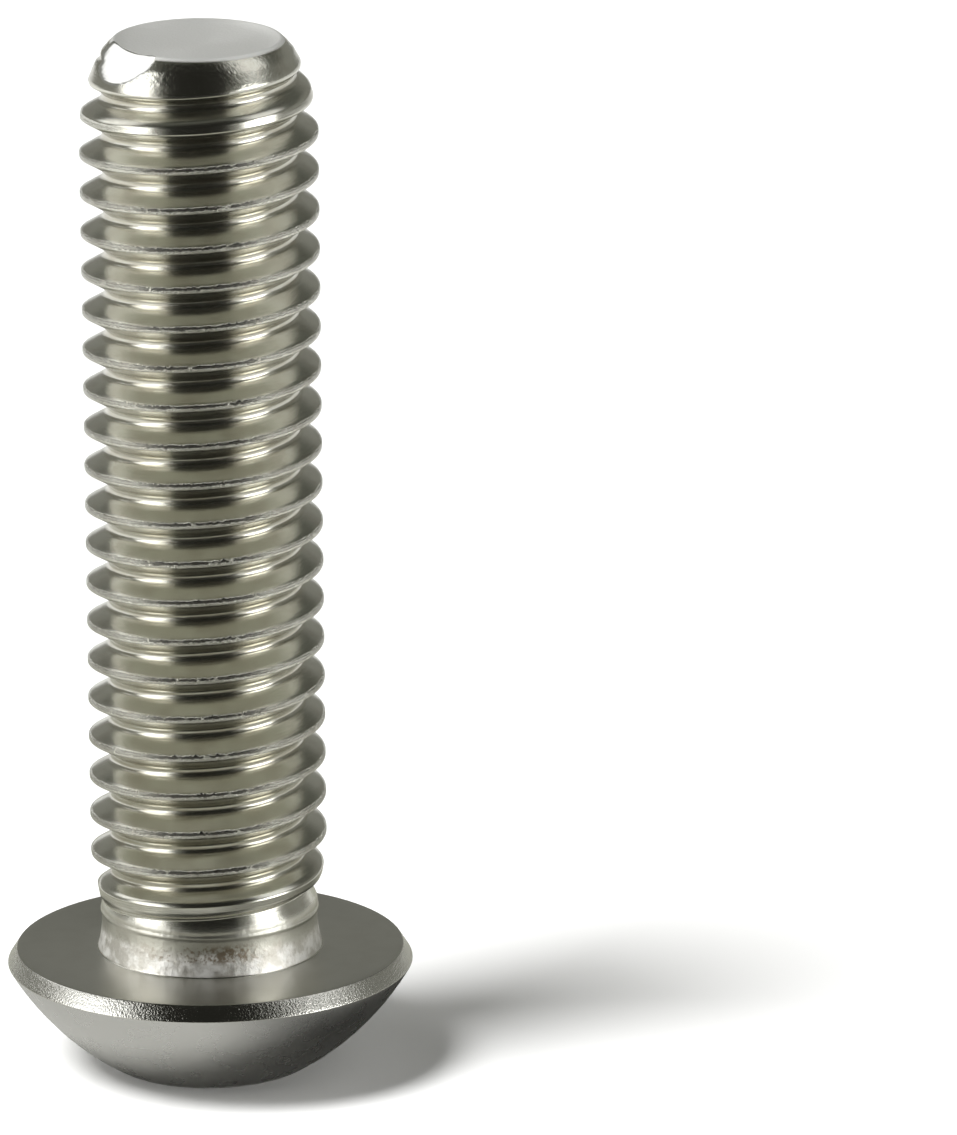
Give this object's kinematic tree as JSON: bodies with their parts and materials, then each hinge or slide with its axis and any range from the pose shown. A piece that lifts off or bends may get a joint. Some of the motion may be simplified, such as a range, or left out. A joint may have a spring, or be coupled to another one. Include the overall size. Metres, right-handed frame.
{
  "type": "button head screw",
  "caption": "Button head socket cap screw: low domed head with a hex socket, short plain neck and a coarse rolled thread, in bare stainless steel.",
  "frame": {"origin": "centre of the bearing face under the head", "axes": "+Z along the shank to its tip, +X through a corner of the hex socket"},
  "size_m": [0.0162, 0.0162, 0.0419],
  "materials": {
    "steel": "satin, as rolled and tumbled"
  },
  "bodies": {
    "root": {"button_head_screw": "steel"}
  },
  "joints": []
}
